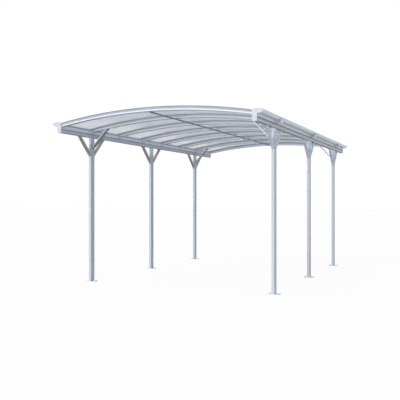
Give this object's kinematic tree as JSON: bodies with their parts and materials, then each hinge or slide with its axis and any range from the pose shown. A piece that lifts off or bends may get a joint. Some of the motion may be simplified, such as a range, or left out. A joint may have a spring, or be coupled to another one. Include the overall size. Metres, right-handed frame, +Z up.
{
  "type": "carport",
  "caption": "Open single carport with slim posts, gutter beams, knee braces and a shallow arched roof of translucent sheets.",
  "frame": {"origin": "on the ground, in the middle of the plan", "axes": "+Z up, +Y along the length towards the rear, +X to the right seen from the front"},
  "size_m": [3.0252, 5.003, 2.3657],
  "materials": {
    "post_silver": "satin powder coat, silver grey",
    "plate_zinc": "zinc plated",
    "beam_silver": "satin powder coat, silver grey",
    "cap_plastic": "light grey moulded plastic",
    "strap_silver": "satin powder coat",
    "brace_silver": "satin powder coat, silver grey",
    "arch_silver": "satin powder coat, silver grey",
    "roof_sheet": "translucent twin-wall sheet",
    "closer_grey": "dark grey coat"
  },
  "bodies": {
    "root": {"front_left_post": "post_silver", "middle_left_post": "post_silver", "rear_left_post": "post_silver", "front_right_post": "post_silver", "middle_right_post": "post_silver", "rear_right_post": "post_silver", "front_left_base_plate": "plate_zinc", "middle_left_base_plate": "plate_zinc", "rear_left_base_plate": "plate_zinc", "front_right_base_plate": "plate_zinc", "middle_right_base_plate": "plate_zinc", "rear_right_base_plate": "plate_zinc", "left_gutter_beam": "beam_silver", "right_gutter_beam": "beam_silver", "left_gutter_end_caps": "cap_plastic", "right_gutter_end_caps": "cap_plastic", "left_gutter_straps": "strap_silver", "right_gutter_straps": "strap_silver", "front_left_knee_braces": "brace_silver", "middle_left_knee_braces": "brace_silver", "rear_left_knee_braces": "brace_silver", "front_right_knee_braces": "brace_silver", "middle_right_knee_braces": "brace_silver", "rear_right_knee_braces": "brace_silver", "left_corner_braces": "brace_silver", "right_corner_braces": "brace_silver", "front_end_arch": "arch_silver", "rafter_1": "arch_silver", "rafter_2": "arch_silver", "rafter_3": "arch_silver", "rafter_4": "arch_silver", "rafter_5": "arch_silver", "rafter_6": "arch_silver", "rear_end_arch": "arch_silver", "roof_panel_1": "roof_sheet", "roof_panel_2": "roof_sheet", "roof_panel_3": "roof_sheet", "roof_panel_4": "roof_sheet", "roof_panel_5": "roof_sheet", "roof_panel_6": "roof_sheet", "roof_panel_7": "roof_sheet", "left_eave_closers": "closer_grey", "right_eave_closers": "closer_grey", "ridge_bar": "closer_grey"}
  },
  "joints": []
}
